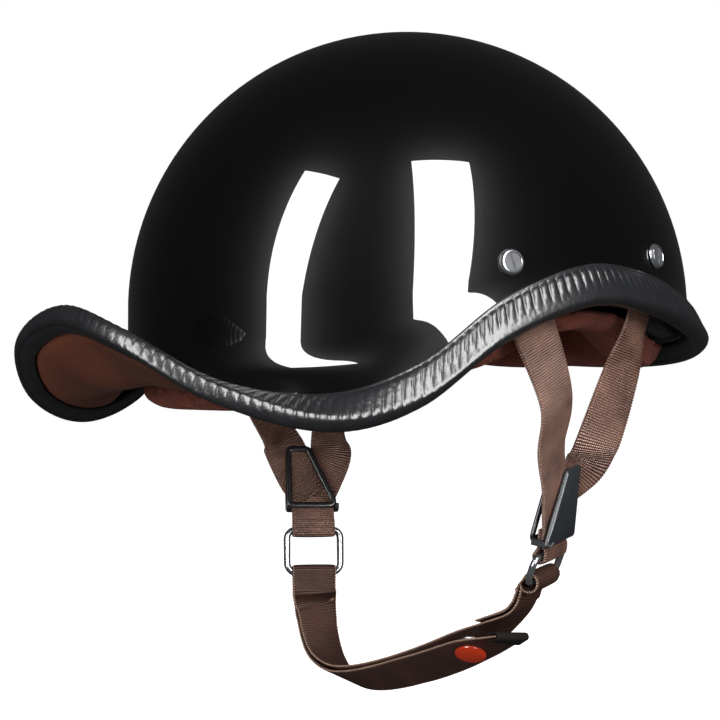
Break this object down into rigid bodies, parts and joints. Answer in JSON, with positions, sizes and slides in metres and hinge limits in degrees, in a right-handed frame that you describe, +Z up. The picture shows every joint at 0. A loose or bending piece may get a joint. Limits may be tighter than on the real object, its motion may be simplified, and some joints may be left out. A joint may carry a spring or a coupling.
{
  "type": "motorcycle half helmet",
  "caption": "Half helmet with rolled peak, arched ear cut-outs, rubber edge trim, padded liner and riveted strap harness with snap.",
  "frame": {"origin": "centre of the dome, in the plane of its greatest length and width; the centre of the wearer's head", "axes": "-Y to the front (peak), +X to the wearer's left, +Z up to the crown"},
  "size_m": [0.2404, 0.332, 0.3],
  "materials": {
    "shell_gloss": "polished",
    "trim_rubber": "satin, ribbed",
    "liner_foam": "fine beads",
    "peak_leatherette": "smooth",
    "pad_cloth": "brushed",
    "patch_plastic": "matte",
    "polished_steel": "polished",
    "plain_steel": "plain",
    "disc_grey": "satin",
    "strap_webbing": "woven",
    "chin_webbing": "woven",
    "fold_tape": "folded tape",
    "divider_plastic": "satin",
    "snap_enamel": "gloss enamel"
  },
  "bodies": {
    "helmet": {"shell": "shell_gloss", "edge_trim": "trim_rubber", "foam_liner": "liner_foam", "peak_lining": "peak_leatherette", "crown_liner": "pad_cloth", "hook_patches": "patch_plastic", "brow_pad": "pad_cloth", "left_side_pad": "pad_cloth", "right_side_pad": "pad_cloth", "nape_pad": "pad_cloth", "strap_rivets": "polished_steel", "rivet_discs": "disc_grey", "rivet_burrs": "plain_steel", "anchor_plates": "plain_steel", "left_front_leg": "strap_webbing", "left_rear_leg": "strap_webbing", "right_front_leg": "strap_webbing", "right_rear_leg": "strap_webbing"},
    "harness": {"left_strap_loop": "strap_webbing", "right_strap_loop": "strap_webbing", "chin_strap": "chin_webbing", "chin_strap_return": "chin_webbing", "snap_stud": "polished_steel", "snap_back": "snap_enamel"},
    "left_divider": {"left_divider_plate": "divider_plastic", "left_divider_frame": "divider_plastic"},
    "right_divider": {"right_divider_plate": "divider_plastic", "right_divider_frame": "divider_plastic"},
    "left_ring": {"left_ring": "polished_steel"},
    "right_outer_ring": {"right_outer_ring": "polished_steel"},
    "right_inner_ring": {"right_inner_ring": "polished_steel"},
    "tail": {"strap_tail": "chin_webbing", "tail_fold": "fold_tape", "snap_cap": "snap_enamel", "snap_socket": "polished_steel"}
  },
  "joints": [
    {"name": "harness_swing", "type": "hinge", "parent": "helmet", "child": "harness", "pos_m": [0, 0.0052, -0.02], "axis": [1, 0, 0], "range_deg": [-25, 35], "deforming": ["left_front_leg", "left_rear_leg", "right_front_leg", "right_rear_leg"]},
    {"name": "left_divider_slide", "type": "slide", "parent": "harness", "child": "left_divider", "axis": [0.2032, -0.0874, 0.9752], "range_m": [0, 0.003]},
    {"name": "right_divider_slide", "type": "slide", "parent": "harness", "child": "right_divider", "axis": [-0.2767, 0.201, 0.9397], "range_m": [0, 0.003]},
    {"name": "left_ring_swing", "type": "hinge", "parent": "harness", "child": "left_ring", "pos_m": [0.0794, 0.0046, -0.1018], "axis": [0.2563, -0.9565, -0.1392], "range_deg": [-3, 3]},
    {"name": "right_inner_ring_swing", "type": "hinge", "parent": "harness", "child": "right_inner_ring", "pos_m": [-0.07664, 0.00671, -0.10226], "axis": [0.5878, 0.809, 0], "range_deg": [-1.8, 1.8]},
    {"name": "right_outer_ring_swing", "type": "hinge", "parent": "harness", "child": "right_outer_ring", "pos_m": [-0.07936, 0.00869, -0.10274], "axis": [0.5878, 0.809, 0], "range_deg": [-1.8, 1.8]},
    {"name": "tail_lift", "type": "hinge", "parent": "harness", "child": "tail", "pos_m": [0.01036, 0.00189, -0.15716], "axis": [0.2274, 0.7859, -0.575], "range_deg": [0, 60]}
  ],
  "couplings": [
    {"joint": "right_outer_ring_swing", "follows": "right_inner_ring_swing", "ratio": 1}
  ]
}
